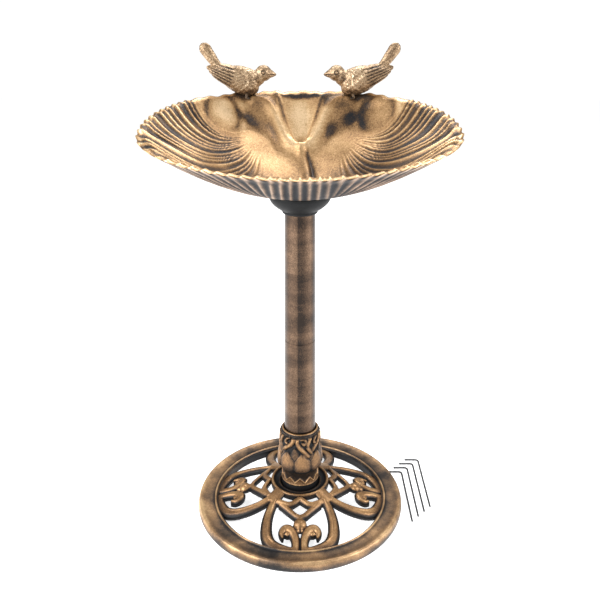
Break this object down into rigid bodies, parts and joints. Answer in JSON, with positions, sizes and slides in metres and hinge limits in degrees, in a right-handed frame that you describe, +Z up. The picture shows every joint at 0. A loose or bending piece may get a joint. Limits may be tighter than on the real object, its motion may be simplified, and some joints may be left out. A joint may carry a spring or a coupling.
{
  "type": "bird bath",
  "caption": "Pedestal bird bath: tilted shell bowl with perching birds, twist-lock cap, tapered pole, leafed collar, round openwork scroll base and loose ground stakes.",
  "frame": {"origin": "middle of the round base, on the ground", "axes": "+Z up along the pole, -Y towards the low front rim of the bowl, +X to the right where the loose stakes lie"},
  "size_m": [0.436, 0.3351, 0.7125],
  "materials": {
    "bronze_base": "moulded resin, antique bronze paint dry-brushed with gold over black, satin",
    "bronze_pole": "resin tube, antique bronze paint with smoky patina patches, satin",
    "bronze_bowl": "moulded resin, speckled antique bronze paint, dark in the grooves, satin",
    "bronze_bird": "moulded resin, antique bronze paint dry-brushed with gold, satin",
    "black_cap": "fine matt grain, charcoal black",
    "inner_plastic": "plain matt",
    "plated_steel": "zinc plated",
    "stake_steel": "dark phosphated steel wire, dull"
  },
  "bodies": {
    "pedestal": {"base_ring": "bronze_base", "base_scrollwork_front": "bronze_base", "base_scrollwork_right": "bronze_base", "base_scrollwork_back": "bronze_base", "base_scrollwork_left": "bronze_base", "base_hub": "bronze_base", "leaf_collar": "bronze_base", "lower_pole": "bronze_pole", "upper_pole": "bronze_pole", "pole_coupler": "inner_plastic", "tie_rod": "plated_steel", "foot_washer": "plated_steel", "foot_nut": "plated_steel", "top_washer": "plated_steel", "top_nut": "plated_steel", "pole_cap": "black_cap"},
    "bowl_unit": {"bowl_lock_ring": "inner_plastic", "lock_ring_screws": "plated_steel", "bowl": "bronze_bowl", "left_bird": "bronze_bird", "right_bird": "bronze_bird"},
    "stake_1": {"ground_stake_1": "stake_steel"},
    "stake_2": {"ground_stake_2": "stake_steel"},
    "stake_3": {"ground_stake_3": "stake_steel"},
    "stake_4": {"ground_stake_4": "stake_steel"}
  },
  "joints": [
    {"name": "bowl_twist", "type": "hinge", "parent": "pedestal", "child": "bowl_unit", "pos_m": [0, 0, 0.521], "axis": [0, 0, 1], "range_deg": [0, 60]},
    {"name": "stake_1_lift", "type": "slide", "parent": "pedestal", "child": "stake_1", "axis": [0, 0, 1], "range_m": [0, 0.12]},
    {"name": "stake_2_lift", "type": "slide", "parent": "pedestal", "child": "stake_2", "axis": [0, 0, 1], "range_m": [0, 0.12]},
    {"name": "stake_3_lift", "type": "slide", "parent": "pedestal", "child": "stake_3", "axis": [0, 0, 1], "range_m": [0, 0.12]},
    {"name": "stake_4_lift", "type": "slide", "parent": "pedestal", "child": "stake_4", "axis": [0, 0, 1], "range_m": [0, 0.12]}
  ]
}
